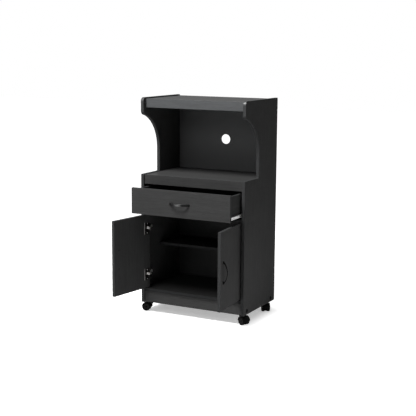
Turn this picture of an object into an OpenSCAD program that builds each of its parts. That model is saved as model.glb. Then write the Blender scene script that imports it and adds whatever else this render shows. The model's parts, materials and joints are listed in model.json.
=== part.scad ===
// Rolling kitchen cabinet: an open hutch over a drawer and a pair of doors.
// Millimetres. +Z up, the front faces -Y, the floor is Z = 0, and X = 0 is the middle.
// The drawer, doors and casters are drawn where the joints have the value 0.

/* [Carcass] */
// Width over both side panels
body_w = 600; // [560:5:700]
// Depth of the side panels, without the back
side_d = 384; // [370:2:440]
// Height of the side panels
side_h = 1084; // [1040:2:1200]
// Thickness of the boards
board_t = 16; // [15:0.5:18]
// Thickness of the hardboard backs
back_t = 3; // [2.5:0.5:4]
// Setback of the backs from the panels' outer faces
back_inset = 1; // [0.5:0.5:3]
// Height of the step where the worktop is
step_h = 687; // [670:1:720]
// Setback of the hutch from the front
hutch_setback = 163.5; // [150:0.5:180]

/* [Side panel outline] */
// Radius of the hollow curve under the nose
arc_r = 190; // [170:1:200]
// Radius under the nose
nose_r = 22; // [16:1:28]
// Distance from the panel's top down to the nose's centre
nose_drop = 68; // [60:1:80]
// Radius of the nose's top corner
crown_r = 20; // [8:1:24]
// Fillet where the hutch meets the step
step_fillet = 4; // [2:1:18]
// Rounding of the step's front corner
step_round = 3; // [2:1:10]

/* [Boards] */
// Drop of the worktop below the step
worktop_drop = 3; // [2:0.5:8]
// Height of the fascia under the worktop's front
worktop_fascia_h = 48; // [40:1:56]
// Setback of that fascia from the panels' front edges
worktop_fascia_in = 8; // [0:1:14]
// Drop of the top below the panels' tops
top_drop = 6; // [3:0.5:10]
// Height of the fascia under the top's front
top_fascia_h = 46; // [36:1:48]
// Setback of the top's fascia from the nose
top_fascia_in = 26; // [22:1:40]
// Height of the plinth board
plinth_h = 62; // [50:1:75]
// Gap under the plinth, above the panels' lower edges
plinth_gap = 2; // [1:0.5:10]
// Setback of the plinth from the panels' front edges
plinth_in = 8; // [0:1:20]
// Depth of the rail between drawer and doors
divider_d = 80; // [70:1:110]
// Depth of the rails that carry the casters
caster_rail_d = 54; // [50:1:60]
// Height of those rails above the panels' lower edges
caster_rail_z = 12; // [10:0.5:16]
// Setback of the rear caster rail from the panels' rear edges
rear_rail_in = 20; // [10:1:40]
// Thickness of the half-depth shelf
shelf_t = 15; // [12:0.5:18]
// Setback of the shelf's front edge
shelf_setback = 164; // [150:1:180]
// Height of the shelf's top above the bottom board
shelf_rise = 220; // [150:1:280]
// Side gap of the shelf
shelf_gap = 0.5; // [0.3:0.1:1]
// Radius of the shelf pins
shelf_pin_r = 2.5; // [2:0.25:3]
// Length of a shelf pin on each side of the panel's face
shelf_pin_out = 9; // [7:0.5:12]
// Distance of the shelf pins from the shelf's front and rear edges
shelf_pin_in = 30; // [20:1:50]

/* [Cable hole] */
// Radius of the hole in the upper back
cable_hole_r = 26; // [20:0.5:32]
// Height of its centre above the worktop
cable_hole_rise = 168; // [120:1:220]

/* [Gaps] */
// Gap above and below the doors and the drawer front
reveal = 3.5; // [2.5:0.25:5]
// Gap between the two doors
door_gap = 3; // [2:0.25:5]
// Side gap of the drawer front
drawer_side_gap = 2.5; // [1.5:0.25:4]
// Clearance round pegs, screws and rods that are seated in holes
seat_gap = 0.05; // [0.02:0.01:0.1]
// Radial clearance of what turns on a pin
run_gap = 0.05; // [0.02:0.01:0.1]

/* [Drawer] */
// Height of the drawer front
drawer_front_h = 134; // [120:1:140]
// Height of the drawer box
box_h = 118; // [100:1:122]
// Rise of the box above the drawer front's lower edge
box_rise = 7; // [6.5:0.5:9]
// Thickness of the box's sides and back
box_t = 12; // [10:0.5:15]
// Gap between the box and the side panel, which takes the slide
slide_gap = 13; // [12.5:0.25:14]
// Gap between the closed box and the back
drawer_back_gap = 18; // [10:1:30]
// Thickness of the drawer's base
base_t = 3; // [2.5:0.5:4]
// Height of the base above the sides' lower edges
base_rise = 9; // [7:0.5:14]
// Depth of the groove that holds the base
groove_d = 6; // [4:0.5:7]
// Distance of the box's dowels and screws from its top
drawer_joint_in = 20; // [14:1:26]
// Distance that the drawer stands open at rest
drawer_out = 125; // [0:1:200]

/* [Drawer slides] */
// Thickness of the slides' sheet
slide_t = 1.2; // [1:0.1:1.5]
// Radius of the rollers
roller_r = 8; // [7:0.25:9]
// Width of the rollers
roller_w = 8; // [7:0.25:8.5]
// Radius of the rollers' pins
roller_pin_r = 2; // [1.5:0.25:2.5]
// Distance of a roller from the end of its slide
roller_in = 12; // [10:0.5:20]
// Setback of the channels behind the drawer front
channel_in = 2; // [1:0.5:6]
// Distance of a channel's end screws from its ends
slide_screw_in = 40; // [30:1:60]
// Play between the runner and the channel
slide_play = 1; // [0.6:0.1:1.1]

/* [Doors] */
// Angle that the left door stands open at rest
left_open = 99; // [0:1:104]
// Angle that the right door stands open at rest
right_open = 95; // [0:1:104]
// Distance of a hinge from the door's top or bottom
hinge_in = 73; // [60:1:100]

/* [Hinges] */
// Radius of the cup's hole in the door
cup_r = 17.5; // [17:0.25:18]
// Depth of that hole
cup_depth = 12; // [11:0.5:12.5]
// Wood left between the hole and the door's edge
cup_edge = 5; // [4:0.5:6]
// Thickness of the cup's wall
cup_t = 0.9; // [0.7:0.1:1]
// Height of the cup's flange
flange_h = 62; // [58:1:66]
// Width of the cup's flange
flange_w = 33; // [28:1:36]
// Distance between the cup's two screws
cup_screw_span = 48; // [46:1:52]
// Distance of the hinge pin from the door's edge
pin_in = 12; // [11.5:0.25:12.5]
// Distance of the hinge pin from the door's inner face
pin_depth = 8; // [7.5:0.25:8]
// Radius of the hinge pin
pin_r = 1.5; // [1.25:0.25:1.75]
// Thickness of the arm's sheet
arm_t = 2; // [1.6:0.1:2.2]
// Height of the arm
arm_h = 12; // [10:0.5:12]
// Depth of the arm's channel section
arm_deep = 6; // [5:0.5:7]
// Reach of the arm's hook past the pin
hook_reach = 14; // [14:0.25:15]
// Clearance of the door's corner as it swings
swing_gap = 0.6; // [0.5:0.1:1.5]
// Distance from the front to the arm's rear end
arm_back = 56; // [50:1:62]
// Distance from the front to the mounting plate's rear end
plate_back = 80; // [74:1:90]
// Thickness of the mounting plate
plate_t = 2.5; // [2:0.25:3]
// Distance of the plate's screws from the arm and from the plate's end
plate_screw_in = 5; // [4:0.25:6]
// Gap between the swinging corner of the door and the arm
arm_gap = 1; // [0.8:0.1:1.6]
// Gap between the arm and the lugs that hold its pin
lug_gap = 0.5; // [0.3:0.1:0.8]
// Thickness of those lugs
lug_t = 4; // [3:0.25:4.5]
// Wall of the eye round the hinge pin
eye_wall = 1.1; // [0.8:0.1:1.1]
// Thickness of the cup's flange
flange_t = 1; // [0.8:0.1:1.4]

/* [Handles] */
// Distance between a handle's screws
handle_span = 96; // [80:2:100]
// Length of a handle
handle_l = 116; // [110:1:126]
// Distance from the front to the bow's outside
handle_out = 24; // [22:0.5:33]
// Width of the bow
handle_w = 12; // [9:0.5:14]
// Thickness of the bow
handle_t = 5; // [4:0.25:6]
// Radius of the posts that take the screws
post_r = 4.5; // [4:0.25:5]
// Radius of the handle screws
handle_screw_r = 2; // [1.5:0.25:2]
// Thickness of the handle screws' heads
handle_head_t = 2; // [1.5:0.25:3]
// Distance of a door's handle from the door's free edge
handle_in = 36; // [20:1:45]
// Distance of a door's handle below the door's middle
handle_drop = 8; // [0:1:60]

/* [Casters] */
// Diameter of the wheels
wheel_d = 44; // [38:1:52]
// Width of one wheel
wheel_w = 17; // [14:0.5:19]
// Offset of the axle from the swivel
trail = 26; // [26:0.25:28]
// Thickness of the hood
hood_t = 1.6; // [1.4:0.1:2.2]
// Gap between hood and wheels
hood_gap = 0.8; // [0.6:0.1:1.2]
// Thickness of the web between the two wheels
web_t = 8; // [7.5:0.25:10]
// Gap between a wheel and the web
web_gap = 0.6; // [0.4:0.1:1]
// Gap between the hoods and the panels' lower edges
hood_top_gap = 6; // [1.5:0.25:8]
// Thickness of a wheel's tread at its open side
tread_t = 5; // [4:0.5:7]
// Bevel of the wheels' edges
wheel_edge = 2; // [1:0.25:3]
// Radius of the axle
axle_r = 2.5; // [2:0.25:3]
// Radius of the swivel pin
swivel_r = 3; // [2.5:0.25:3]
// Radius of the hood's neck round the swivel pin
neck_r = 8; // [7:0.25:8]
// Height of the race between neck and caster plate
race_h = 2.5; // [2:0.25:4]
// Side of the square caster plate
plate_w = 38; // [36:1:39]
// Distance of its screws from its edges
caster_screw_in = 5; // [4.5:0.25:6]
// Thickness of the caster plate
caster_plate_t = 2; // [1.5:0.25:2.5]
// Distance of the swivels from the panels' inner faces
caster_in = 20; // [19.75:0.25:30]
// Distance of the swivels from the rail's edge on the outside
caster_setback = 21; // [21:0.5:27]
// Heading of the front left wheels
front_left_turn = 196; // [0:1:359]
// Heading of the front right wheels
front_right_turn = 336; // [0:1:359]
// Heading of the rear left wheels
rear_left_turn = 205; // [0:1:359]
// Heading of the rear right wheels
rear_right_turn = 304; // [0:1:359]

/* [Fasteners] */
// Distance of the front joints from the boards' front edges
joint_front_in = 44; // [36:1:60]
// Distance of the rear joints from the panels' rear edges
joint_rear_in = 45; // [36:1:60]
// Distance from a cam stud to the dowel behind or before it
dowel_step = 32; // [28:1:36]
// Radius of the dowels
dowel_r = 4; // [3:0.5:4]
// Length of a dowel in the side panel
dowel_in_panel = 11; // [9:0.5:12]
// Length of a dowel in the board
dowel_in_board = 19; // [15:0.5:24]
// Radius of the cam locks
cam_r = 7.5; // [6:0.5:7.5]
// Depth of the cam locks
cam_depth = 12.5; // [12:0.25:13]
// Depth of the key slot in a cam lock
cam_slot = 2; // [1:0.25:2.5]
// Distance of a cam lock from the board's end
cam_in = 24; // [22:0.5:34]
// Radius of the cam studs
stud_r = 3; // [2.5:0.25:3]
// Length of a stud in the side panel
stud_in_panel = 11; // [9:0.5:12]
// Radius of the rail screws
rail_screw_r = 2.5; // [2:0.25:3]
// Length of a rail screw
rail_screw_l = 50; // [40:1:60]
// Radius of a rail screw's head
rail_head_r = 4.5; // [4:0.25:5]
// Radius of the caps over the rail screws
cap_r = 10; // [6:0.25:12]
// Thickness of those caps
cap_t = 1; // [0.6:0.1:1.5]
// Radius of the small wood screws
screw_r = 1.6; // [1.4:0.1:1.75]
// Length of the small wood screws
screw_l = 12; // [10:0.5:13]
// Radius of the small screws' heads
screw_head_r = 3; // [2.75:0.25:3.5]
// Thickness of the small screws' heads
screw_head_t = 1; // [0.8:0.1:1.4]
// Radius of the nails
nail_r = 0.7; // [0.6:0.05:0.9]
// Length of the nails
nail_l = 15; // [12:0.5:20]
// Radius of the nails' heads
nail_head_r = 2; // [1.6:0.1:2.5]
// Thickness of the nails' heads
nail_head_t = 0.6; // [0.4:0.1:1]

/* [Hidden] */
$fn = 48;
overcut = 1;

// Casters set how high the carcass stands
wheel_r = wheel_d / 2;
hood_r = wheel_r + hood_gap + hood_t;
hood_top = wheel_r + hood_r;
base_z = hood_top + hood_top_gap;
caster_top = base_z + caster_rail_z;

// Depths, from the front plane to the back
inner_x = body_w / 2 - board_t;
front_y = -(side_d + back_t) / 2;
rear_y = front_y + side_d;

// Heights of the boards
plinth_z = base_z + plinth_gap;
bottom_z = plinth_z + plinth_h;
plinth_y = front_y + plinth_in;
fascia_y = front_y + worktop_fascia_in;
bottom_top = bottom_z + board_t;
step_z = base_z + step_h;
panel_top = base_z + side_h;
worktop_top = step_z - worktop_drop;
worktop_z = worktop_top - board_t;
fascia_z = worktop_top - worktop_fascia_h;
top_top = panel_top - top_drop;
top_z = top_top - board_t;
top_fascia_z = top_top - top_fascia_h;
top_front_y = front_y + top_fascia_in + board_t;
drawer_top = fascia_z - reveal;
drawer_z = drawer_top - drawer_front_h;
divider_top = drawer_z - reveal;
divider_z = divider_top - board_t;
door_top = divider_z - reveal;
door_z = bottom_top + reveal;
door_h = door_top - door_z;
shelf_top = bottom_top + shelf_rise;
shelf_z = shelf_top - shelf_t;
back_split_z = worktop_z + board_t / 2;

// Side panel outline, in the panel's own plane from its front lower corner
arc_y = hutch_setback - arc_r;
nose_z = side_h - nose_drop;
arc_z = nose_z - sqrt(pow(arc_r + nose_r, 2) - pow(nose_r - arc_y, 2));

// Hinges: distances from the panel's inner face and from the front plane
pin_v = board_t - pin_depth;
pin_u = norm([pin_in, max(pin_v, pin_depth)]) + swing_gap;
door_side_gap = pin_u - pin_in;
door_w = inner_x - door_side_gap - door_gap / 2;
cup_u = door_side_gap + cup_edge + cup_r;
turn_r = norm([pin_in, pin_depth]) + swing_gap + arm_t / 2;
arm_v = pin_v + turn_r + arm_gap;
hook_u = pin_u + hook_reach;
arm_u = plate_t + arm_deep - arm_t / 2;
eye_r = pin_r + eye_wall;
lug_z = arm_h / 2 + lug_gap;
hinge_heights = [door_z + hinge_in, door_top - hinge_in];

// Drawer box and slides
box_len = side_d - board_t - drawer_back_gap;
box_x = inner_x - slide_gap;
box_z = drawer_z + box_rise;
drawer_y = front_y - drawer_out;
box_y = drawer_y + board_t;
runner_top = box_z + 2 * roller_r;
flange_z = runner_top - slide_t;
channel_front = front_y + board_t + channel_in;
channel_len = box_len;
front_roller_z = flange_z - run_gap - roller_r;
channel_floor = front_roller_z - roller_r - slide_play;
rear_roller_z = channel_floor + run_gap + roller_r;
channel_roof = runner_top + slide_play;
roller_x = box_x + slide_t + slide_play + roller_w / 2;
roller_pin_len = roller_w + slide_play;
front_roller_y = channel_front + roller_in;
rear_roller_y = box_y + box_len - roller_in;
box_base_z = box_z + base_rise;
drawer_mid_z = drawer_z + drawer_front_h / 2;
box_back_y = box_y + box_len - box_t;
drawer_dowel_r = box_t / 4;
drawer_dowel_depth = 10;
drawer_joint_zs = [box_z + 2 * drawer_joint_in, box_z + box_h - drawer_joint_in];
drawer_screw_l = 3 * box_t;

// Handles: a bow whose arc meets the front at both ends
bow_r = (pow(handle_l / 2, 2) + pow(handle_out, 2)) / (2 * handle_out);
bow_mid = bow_r - handle_t / 2;
post_l = sqrt(pow(bow_mid, 2) - pow(handle_span / 2, 2)) - (bow_r - handle_out);
handle_screw_l = board_t + post_l - handle_t / 2;
handle_u = door_side_gap + door_w - handle_in;
door_handle_z = (door_z + door_top) / 2 - handle_drop;

// Casters
wheel_y = web_t / 2 + web_gap + wheel_w / 2;
hood_w = 2 * (wheel_y + wheel_w / 2);
neck_top = caster_top - caster_plate_t - race_h;
front_caster_y = plinth_y + board_t + caster_setback;
rear_caster_y = rear_y - rear_rail_in - caster_setback;
rear_rail_y = rear_y - rear_rail_in - caster_rail_d;
caster_x = inner_x - caster_in;
caster_spots = [[-caster_x, front_caster_y], [caster_x, front_caster_y],
    [-caster_x, rear_caster_y], [caster_x, rear_caster_y]];
caster_screw_span = plate_w - 2 * caster_screw_in;

// Where dowels, cam studs and rail screws enter the side panels, as [y, z]
top_joint_y = top_front_y + joint_front_in;
worktop_joint_y = fascia_y + board_t + joint_front_in;
base_joint_y = front_y + joint_front_in;
rear_joint_y = rear_y - joint_rear_in;
cammed = [[top_joint_y, top_z], [rear_joint_y, top_z], [worktop_joint_y, worktop_z],
    [rear_joint_y, worktop_z], [base_joint_y, bottom_z], [rear_joint_y, bottom_z],
    [base_joint_y, divider_z]];
doweled = [for (p = [[top_joint_y + dowel_step, top_z], [rear_joint_y - dowel_step, top_z],
    [worktop_joint_y + dowel_step, worktop_z], [rear_joint_y - dowel_step, worktop_z],
    [base_joint_y + dowel_step, bottom_z], [rear_joint_y - dowel_step, bottom_z],
    [front_y + joint_front_in / 3, divider_z], [top_front_y - board_t / 2, top_fascia_z],
    [fascia_y + board_t / 2, fascia_z], [plinth_y + board_t / 2, plinth_z + board_t]])
    [p[0], p[1] + board_t / 2]];
rail_screw_spots = [[plinth_y + board_t + caster_rail_d / 3, caster_top + board_t / 2],
    [rear_rail_y + caster_rail_d / 2, caster_top + board_t / 2]];
shelf_pin_z = shelf_z - shelf_pin_r - seat_gap;
shelf_pin_spots = [[front_y + shelf_setback + shelf_pin_in, shelf_pin_z],
    [rear_y - shelf_pin_in, shelf_pin_z]];
hinge_screw_ys = [front_y + arm_back + plate_screw_in, front_y + plate_back - plate_screw_in];
hinge_screw_spots = [for (z = hinge_heights) for (y = hinge_screw_ys) [y, z]];
channel_z = (channel_floor + channel_roof) / 2;
slide_screw_ys = [channel_front + slide_screw_in, channel_front + channel_len / 2,
    channel_front + channel_len - slide_screw_in];
slide_screw_spots = [for (y = slide_screw_ys) [y, channel_z]];

// Nails through the backs, as [x, z]
nail_x = body_w / 2 - board_t / 2;
nail_zs = [for (k = [1:4]) plinth_z + k * (back_split_z - plinth_z) / 5,
    for (k = [1:3]) back_split_z + k * (top_z - back_split_z) / 4];
nail_spots = [for (x = [-nail_x, nail_x]) for (z = nail_zs) [x, z],
    for (x = [-inner_x / 2, 0, inner_x / 2]) for (z = [back_split_z - board_t / 4,
        back_split_z + board_t / 4, top_z + board_t / 2, bottom_z + board_t / 2]) [x, z]];

laminate = "#3a3a3c";
board_core = "#b49a72";
steel = "#b9bbbd";
slide_white = "#e6e6e4";
black = "#1c1c1e";

// A round bar from its end at the origin along +X, +Y or any way up
module bar_x(len, r) { rotate([0, 90, 0]) cylinder(h = len, r = r); }
module bar_y(len, r) { rotate([-90, 0, 0]) cylinder(h = len, r = r); }
// Children drawn for the left side, put on the right side by a mirror
module on_side(right) {
    if (right) mirror([1, 0, 0]) children();
    else children();
}
module both_sides() {
    children();
    mirror([1, 0, 0]) children();
}
// Bores in the left panel's inner face at a list of [y, z]
module panel_bores(spots, r, depth) {
    for (p = spots)
        translate([-inner_x - depth, p[0], p[1]]) bar_x(depth + overcut, r);
}
// What is left of a square corner outside a rounding of radius r
module corner_cut(r) {
    difference() {
        translate([-overcut, -overcut]) square(r + overcut);
        translate([r, r]) circle(r = r);
    }
}

module side_outline() {
    difference() {
        union() {
            square([side_d, step_h]);
            translate([hutch_setback, 0]) square([side_d - hutch_setback, side_h]);
            translate([0, nose_z]) square([side_d, side_h - nose_z]);
            translate([nose_r, nose_z]) circle(r = nose_r);
            // the web between the hollow curve and the hutch's front edge
            difference() {
                polygon([[arc_y, arc_z], [hutch_setback + overcut, arc_z],
                    [hutch_setback + overcut, nose_z + overcut], [nose_r, nose_z + overcut],
                    [nose_r, nose_z]]);
                translate([arc_y, arc_z]) circle(r = arc_r, $fn = 180);
            }
            difference() {
                translate([hutch_setback - step_fillet, step_h - overcut])
                    square([step_fillet + overcut, step_fillet + overcut]);
                translate([hutch_setback - step_fillet, step_h + step_fillet])
                    circle(r = step_fillet);
            }
        }
        translate([0, side_h]) mirror([0, 1]) corner_cut(crown_r);
        translate([0, step_h]) mirror([0, 1]) corner_cut(step_round);
    }
}

module side_panel() {
    difference() {
        translate([-body_w / 2, front_y, base_z]) rotate([90, 0, 90])
            linear_extrude(height = board_t) side_outline();
        panel_bores([for (p = cammed) [p[0], p[1] + board_t / 2]], stud_r + seat_gap,
            stud_in_panel);
        panel_bores(doweled, dowel_r + seat_gap, dowel_in_panel);
        panel_bores(rail_screw_spots, rail_screw_r + seat_gap, board_t + overcut);
        for (p = rail_screw_spots)
            translate([-body_w / 2 - overcut, p[0], p[1]])
                bar_x(rail_head_r + overcut, rail_head_r + seat_gap);
        panel_bores(shelf_pin_spots, shelf_pin_r + seat_gap, shelf_pin_out);
        panel_bores(hinge_screw_spots, screw_r + seat_gap, screw_l);
        panel_bores(slide_screw_spots, screw_r + seat_gap, screw_l);
        nail_bores();
    }
}
module left_side_panel() { color(laminate) side_panel(); }
module right_side_panel() { color(laminate) mirror([1, 0, 0]) side_panel(); }

module nail_bores() {
    for (p = nail_spots)
        translate([p[0], rear_y - nail_l, p[1]])
            bar_y(nail_l + back_t + overcut, nail_r + seat_gap);
}
// Cuts for cam locks, their studs and the dowels in the boards between the panels
module board_joint_cuts() {
    both_sides() {
        for (p = cammed) {
            translate([-inner_x + cam_in, p[0], p[1] - overcut])
                cylinder(h = cam_depth + overcut, r = cam_r);
            translate([-inner_x - overcut, p[0], p[1] + board_t / 2])
                bar_x(cam_in + overcut, stud_r + seat_gap);
        }
        for (p = doweled)
            translate([-inner_x - overcut, p[0], p[1]])
                bar_x(dowel_in_board + overcut, dowel_r + seat_gap);
        for (p = rail_screw_spots)
            translate([-inner_x - overcut, p[0], p[1]])
                bar_x(rail_screw_l, rail_screw_r + seat_gap);
    }
    nail_bores();
}
// A board between the panels, from y0 to y1 and z0 to z1
module board(y0, y1, z0, z1) {
    color(laminate) difference() {
        translate([-inner_x, y0, z0]) cube([2 * inner_x, y1 - y0, z1 - z0]);
        board_joint_cuts();
    }
}
module top_panel() { board(top_front_y, rear_y, top_z, top_top); }
module top_fascia() { board(top_front_y - board_t, top_front_y, top_fascia_z, top_top); }
module worktop() { board(fascia_y + board_t, rear_y, worktop_z, worktop_top); }
module worktop_fascia() { board(fascia_y, fascia_y + board_t, fascia_z, worktop_top); }
module divider_rail() { board(front_y, front_y + divider_d, divider_z, divider_top); }
module bottom_panel() { board(front_y, rear_y, bottom_z, bottom_top); }
module plinth() { board(plinth_y, plinth_y + board_t, plinth_z, bottom_z); }
module caster_rail(y0) {
    color(laminate) difference() {
        translate([-inner_x, y0, caster_top]) cube([2 * inner_x, caster_rail_d, board_t]);
        board_joint_cuts();
        caster_screw_bores();
    }
}
module front_caster_rail() { caster_rail(plinth_y + board_t); }
module rear_caster_rail() { caster_rail(rear_rail_y); }

module back_board(z0, z1) {
    difference() {
        translate([-body_w / 2 + back_inset, rear_y, z0])
            cube([body_w - 2 * back_inset, back_t, z1 - z0]);
        nail_bores();
    }
}
module upper_back() {
    color(laminate) difference() {
        back_board(back_split_z, top_top);
        translate([0, rear_y - overcut, worktop_top + cable_hole_rise])
            bar_y(back_t + 2 * overcut, cable_hole_r);
    }
}
module lower_back() { color(laminate) back_board(plinth_z, back_split_z); }

module half_shelf() {
    color(laminate) translate([-inner_x + shelf_gap, front_y + shelf_setback, shelf_z])
        cube([2 * (inner_x - shelf_gap), side_d - shelf_setback - shelf_gap, shelf_t]);
}
module shelf_pins() {
    color(steel) both_sides() for (p = shelf_pin_spots)
        translate([-inner_x - shelf_pin_out + seat_gap, p[0], p[1]])
            bar_x(2 * shelf_pin_out, shelf_pin_r);
}

module cam_locks() {
    color(steel) both_sides() for (p = cammed) difference() {
        translate([-inner_x + cam_in, p[0], p[1]])
            cylinder(h = cam_depth - seat_gap, r = cam_r - seat_gap);
        translate([-inner_x + cam_in - cam_r - overcut, p[0], p[1] + board_t / 2])
            bar_x(cam_r + overcut + stud_r, stud_r + seat_gap);
        translate([-inner_x + cam_in, p[0], p[1] - overcut])
            cylinder(h = overcut + cam_slot, r = stud_r, $fn = 6);
    }
}
module cam_studs() {
    color(steel) both_sides() for (p = cammed)
        translate([-inner_x - stud_in_panel + seat_gap, p[0], p[1] + board_t / 2])
            bar_x(stud_in_panel + cam_in, stud_r);
}
module dowels() {
    color(board_core) both_sides() for (p = doweled)
        translate([-inner_x - dowel_in_panel + seat_gap, p[0], p[1]])
            bar_x(dowel_in_panel + dowel_in_board - 2 * seat_gap, dowel_r);
}
module rail_screws() {
    color(steel) both_sides() for (p = rail_screw_spots) {
        translate([-body_w / 2 + seat_gap, p[0], p[1]]) bar_x(rail_screw_l, rail_screw_r);
        translate([-body_w / 2 + seat_gap, p[0], p[1]])
            bar_x(rail_head_r - 2 * seat_gap, rail_head_r);
    }
}
module screw_caps() {
    color(black) both_sides() for (p = rail_screw_spots)
        translate([-body_w / 2 - cap_t, p[0], p[1]]) bar_x(cap_t, cap_r);
}
module back_nails() {
    color(steel) for (p = nail_spots) translate([p[0], rear_y + back_t, p[1]]) {
        translate([0, seat_gap - nail_l, 0]) bar_y(nail_l, nail_r);
        bar_y(nail_head_t, nail_head_r);
    }
}

// The channel on the left panel: web, floor and roof, with the front roller's pin
module slide_channel() {
    difference() {
        union() {
            translate([-inner_x, channel_front, channel_floor - slide_t])
                cube([slide_t, channel_len, channel_roof - channel_floor + 2 * slide_t]);
            for (z = [channel_floor - slide_t, channel_roof])
                translate([-inner_x, channel_front, z])
                    cube([slide_gap - slide_t - slide_play, channel_len, slide_t]);
            translate([-inner_x, front_roller_y, front_roller_z])
                bar_x(roller_pin_len + 2 * slide_t, roller_pin_r);
        }
        for (p = slide_screw_spots)
            translate([-inner_x - overcut, p[0], p[1]])
                bar_x(slide_t + 2 * overcut, screw_r + seat_gap);
    }
}
module left_slide_channel() { color(slide_white) slide_channel(); }
module right_slide_channel() { color(slide_white) mirror([1, 0, 0]) slide_channel(); }

// The runner under the drawer's left side, with the rear roller's pin
module slide_runner() {
    translate([-box_x - slide_t, box_y, box_z - slide_t])
        cube([slide_t, box_len, runner_top - box_z + slide_t]);
    translate([-box_x - slide_t, box_y, box_z - slide_t])
        cube([box_t + slide_t, box_len, slide_t]);
    translate([-inner_x + slide_t + slide_play, box_y, flange_z])
        cube([slide_gap - slide_t - slide_play, box_len - 2 * roller_in - roller_r, slide_t]);
    translate([-box_x - slide_t - roller_pin_len, rear_roller_y, rear_roller_z])
        bar_x(roller_pin_len + slide_t, roller_pin_r);
}
module left_slide_runner() { color(slide_white) slide_runner(); }
module right_slide_runner() { color(slide_white) mirror([1, 0, 0]) slide_runner(); }

module roller(right, y, z) {
    color(slide_white) on_side(right) translate([-roller_x - roller_w / 2, y, z])
        difference() {
            bar_x(roller_w, roller_r);
            translate([-overcut, 0, 0])
                bar_x(roller_w + 2 * overcut, roller_pin_r + run_gap);
        }
}
module front_left_roller() { roller(false, front_roller_y, front_roller_z); }
module front_right_roller() { roller(true, front_roller_y, front_roller_z); }
module rear_left_roller() { roller(false, rear_roller_y, rear_roller_z); }
module rear_right_roller() { roller(true, rear_roller_y, rear_roller_z); }

// A small wood screw: its head's underside is at the origin and it points along +X
module screw_x() {
    bar_x(screw_l - seat_gap, screw_r);
    translate([-screw_head_t, 0, 0]) bar_x(screw_head_t, screw_head_r);
}
module carcass_screws() {
    color(steel) both_sides() {
        for (p = slide_screw_spots)
            translate([-inner_x + slide_t, p[0], p[1]]) mirror([1, 0, 0]) screw_x();
        for (p = hinge_screw_spots)
            translate([-inner_x + plate_t, p[0], p[1]]) mirror([1, 0, 0]) screw_x();
    }
}

// Local axes of a hinge: x from the panel's inner face, y from the front plane
module hinge_bar(from, to) {
    dx = to[0] - from[0];
    dy = to[1] - from[1];
    translate([min(from[0], to[0]) - arm_t / 2, min(from[1], to[1]) - arm_t / 2])
        square([abs(dx) + arm_t, abs(dy) + arm_t]);
}
module hinge_hook() {
    difference() {
        union() {
            translate([pin_u, pin_v]) circle(r = eye_r);
            hinge_bar([pin_u, pin_v], [hook_u, pin_v]);
            hinge_bar([hook_u, pin_v], [hook_u, arm_v]);
            hinge_bar([arm_u, arm_v], [hook_u, arm_v]);
            hinge_bar([arm_u, arm_v], [arm_u, arm_back]);
        }
        translate([pin_u, pin_v]) circle(r = pin_r + run_gap);
    }
}
module hinge_arm() {
    translate([0, 0, -arm_h / 2]) linear_extrude(height = arm_h) hinge_hook();
    for (z = [-arm_h / 2, arm_h / 2 - arm_t])
        translate([plate_t, arm_v, z]) cube([arm_deep, arm_back - arm_v, arm_t]);
    difference() {
        translate([0, arm_v, -arm_h / 2]) cube([plate_t, plate_back - arm_v, arm_h]);
        for (y = hinge_screw_ys)
            translate([-overcut, y - front_y, 0])
                bar_x(plate_t + 2 * overcut, screw_r + seat_gap);
    }
}
module hinge_arms() {
    color(steel) both_sides() for (z = hinge_heights)
        translate([-inner_x, front_y, z]) hinge_arm();
}

// The cup with its flange and the lugs that hold the pin
module hinge_cup() {
    inside_r = cup_r - seat_gap - cup_t;
    floor_v = board_t - cup_depth + seat_gap;
    difference() {
        union() {
            translate([cup_u, floor_v, 0]) bar_y(board_t - floor_v, cup_r - seat_gap);
            translate([cup_u - flange_w / 2, board_t, -flange_h / 2])
                cube([flange_w, flange_t, flange_h]);
        }
        translate([cup_u, floor_v + cup_t, 0]) bar_y(board_t, inside_r);
        for (z = [-cup_screw_span / 2, cup_screw_span / 2])
            translate([cup_u, board_t - overcut, z])
                bar_y(flange_t + 2 * overcut, screw_r + seat_gap);
    }
    intersection() {
        difference() {
            for (z = [-lug_z - lug_t, lug_z])
                translate([cup_u - inside_r, floor_v + cup_t / 2, z])
                    cube([pin_u + 2 * eye_r - cup_u + inside_r, pin_v + eye_r - floor_v, lug_t]);
            translate([pin_u, pin_v, -cup_r]) cylinder(h = 2 * cup_r, r = pin_r + seat_gap);
        }
        translate([cup_u, floor_v, 0]) bar_y(board_t - floor_v, inside_r + cup_t / 2);
    }
}
module hinge_pin() {
    translate([pin_u, pin_v, -lug_z - lug_t]) cylinder(h = 2 * (lug_z + lug_t), r = pin_r);
}
// Children in a hinge's local axes at both heights, swung open with the door
module door_hinges(turn) {
    for (z = hinge_heights) translate([-inner_x, front_y, z]) swung(turn) children();
}
// A turn about the hinge pin, in a hinge's local axes
module swung(turn) {
    translate([pin_u, pin_v, 0]) rotate([0, 0, -turn]) translate([-pin_u, -pin_v, 0]) children();
}
// Children drawn on a closed left door, from the panel's inner face and the front plane
module door_place(turn) {
    translate([-inner_x, front_y, 0]) swung(turn) children();
}
module door() {
    difference() {
        translate([door_side_gap, 0, door_z]) cube([door_w, board_t, door_h]);
        for (z = hinge_heights) {
            translate([cup_u, board_t - cup_depth, z]) bar_y(cup_depth + overcut, cup_r);
            for (s = [-cup_screw_span / 2, cup_screw_span / 2])
                translate([cup_u, board_t - screw_l, z + s])
                    bar_y(screw_l + overcut, screw_r + seat_gap);
        }
        for (z = [-handle_span / 2, handle_span / 2])
            translate([handle_u, -overcut, door_handle_z + z])
                bar_y(board_t + 2 * overcut, handle_screw_r + seat_gap);
    }
}
module door_screws() {
    for (z = hinge_heights) for (s = [-cup_screw_span / 2, cup_screw_span / 2])
        translate([cup_u, board_t + flange_t, z + s]) rotate([0, 0, -90]) screw_x();
    translate([handle_u, 0, door_handle_z]) rotate([0, 90, 0]) handle_screws();
}
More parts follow.
